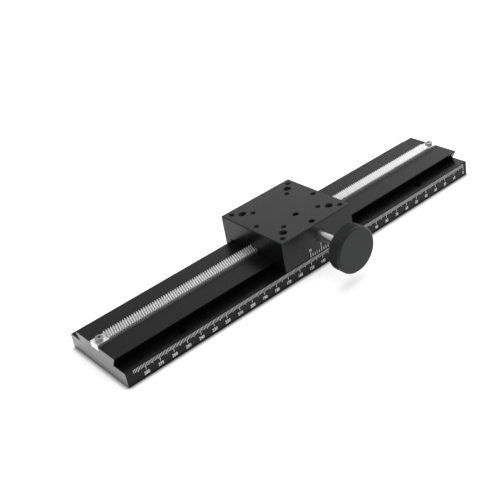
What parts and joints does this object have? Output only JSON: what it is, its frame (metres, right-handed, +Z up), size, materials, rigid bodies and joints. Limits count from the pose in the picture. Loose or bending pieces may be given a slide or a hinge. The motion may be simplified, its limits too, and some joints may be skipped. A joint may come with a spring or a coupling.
{
  "type": "macro focusing rail",
  "caption": "Long dovetail rail with a helical rack and a millimetre scale, and a square drilled carriage driven along it by a knurled knob on a cross shaft.",
  "frame": {"origin": "centre of the rail's underside, at the mouth of the large tripod thread", "axes": "+X along the rail towards the zero of its scale, +Y towards the rear, away from the knob, +Z up out of the carriage's top"},
  "size_m": [0.297, 0.1033, 0.0391],
  "materials": {
    "black_anodised_rail": "black anodised, satin",
    "black_anodised_carriage": "black anodised, satin",
    "black_anodised_knob": "black anodised, satin, knurled rim",
    "rack_steel": "milled, bright",
    "shaft_steel": "ground, bright",
    "screw_steel": "plain, bright",
    "screw_black": "black oxide",
    "gib_brass": "milled",
    "pinion_brass": "cut, bright",
    "bush_plastic": "black bearing plastic",
    "plug_plastic": "natural, plain",
    "mark_filling": "pale filling in the engraved marks"
  },
  "bodies": {
    "rail": {"rail": "black_anodised_rail", "rack": "rack_steel", "rack_end_screws": "screw_steel", "rack_base_screws": "screw_steel"},
    "carriage": {"carriage": "black_anodised_carriage", "gib_strip": "gib_brass", "gib_screws": "screw_black", "front_bush": "bush_plastic", "rear_bush": "bush_plastic", "bush_screws": "screw_black", "drag_plug": "plug_plastic", "lock_pad": "gib_brass"},
    "drive": {"pinion_shaft": "shaft_steel", "pinion": "pinion_brass", "pinion_pin": "screw_steel", "thrust_washers": "plug_plastic", "knob": "black_anodised_knob", "knob_set_screw": "screw_black"},
    "lock": {"lock_stud": "shaft_steel", "lock_head": "black_anodised_knob"}
  },
  "joints": [
    {"name": "carriage_slide", "type": "slide", "parent": "rail", "child": "carriage", "axis": [1, 0, 0], "range_m": [-0.1156, 0.107]},
    {"name": "knob_turn", "type": "hinge", "parent": "carriage", "child": "drive", "pos_m": [0.0043, 0, 0.02382], "axis": [0, 1, 0], "range_deg": [-1225, 1225]},
    {"name": "lock_turn", "type": "hinge", "parent": "carriage", "child": "lock", "pos_m": [0.0043, 0.03, 0.01353], "axis": [0, 1, 0], "range_deg": [-90, 180]}
  ],
  "couplings": [
    {"joint": "knob_turn", "follows": "carriage_slide", "rad_per_m": 184.8}
  ]
}
